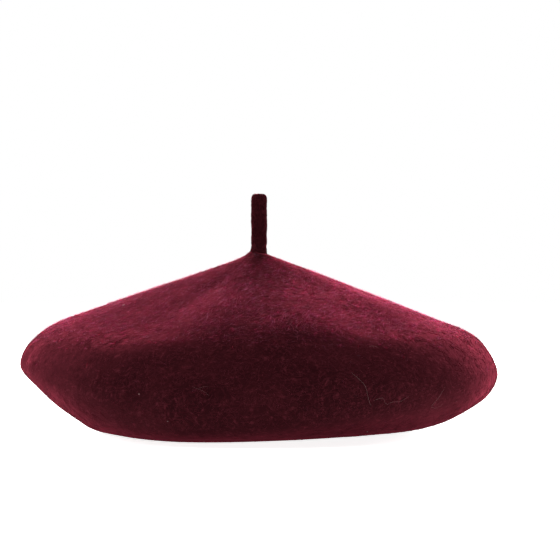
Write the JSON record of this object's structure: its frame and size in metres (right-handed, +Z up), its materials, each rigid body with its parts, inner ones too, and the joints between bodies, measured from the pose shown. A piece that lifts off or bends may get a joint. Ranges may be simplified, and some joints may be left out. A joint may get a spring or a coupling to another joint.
{
  "type": "beret",
  "caption": "Round felted wool beret, crown drawn up into a low cone at its stem, lined and with a sweatband inside.",
  "frame": {"origin": "centre of the head opening, in the plane of its rim, which is the plane the beret rests on", "axes": "+Z up along the stem, -Y towards the front, +Y towards the back where the sweatband is joined"},
  "size_m": [0.2798, 0.2798, 0.139],
  "materials": {
    "felt": "matte",
    "lining_satin": "satin",
    "band_leather": "satin",
    "thread": "satin",
    "ribbon": "satin",
    "label_tape": "satin"
  },
  "bodies": {
    "beret": {"felt_brim": "felt", "felt_shoulder": "felt", "lining_top": "lining_satin", "lining_side": "lining_satin", "lining_seam": "thread", "sweatband": "band_leather", "sweatband_seam": "thread", "band_join": "thread", "bow_ribbon": "ribbon", "bow_knot": "ribbon", "size_label": "label_tape", "label_stitches": "thread"},
    "crown_centre": {"felt_crown": "felt", "stem_tail": "felt", "stem_patch": "felt", "stem_stitches": "thread"},
    "stem_root": {"stem_root": "felt"},
    "stem_shaft": {"stem": "felt"}
  },
  "joints": [
    {"name": "crown_sink", "type": "slide", "parent": "beret", "child": "crown_centre", "axis": [0, 0, 1], "range_m": [-0.035, 0], "stiffness_N_per_m": 60, "deforming": ["felt_shoulder", "lining_top"]},
    {"name": "stem_tilt_fore", "type": "hinge", "parent": "crown_centre", "child": "stem_root", "pos_m": [0, 0, 0.1054], "axis": [1, 0, 0], "range_deg": [-60, 60], "stiffness_Nm_per_rad": 0.01},
    {"name": "stem_tilt_side", "type": "hinge", "parent": "stem_root", "child": "stem_shaft", "pos_m": [0, 0, 0.11289], "axis": [0, 1, 0], "range_deg": [-60, 60], "stiffness_Nm_per_rad": 0.01}
  ]
}
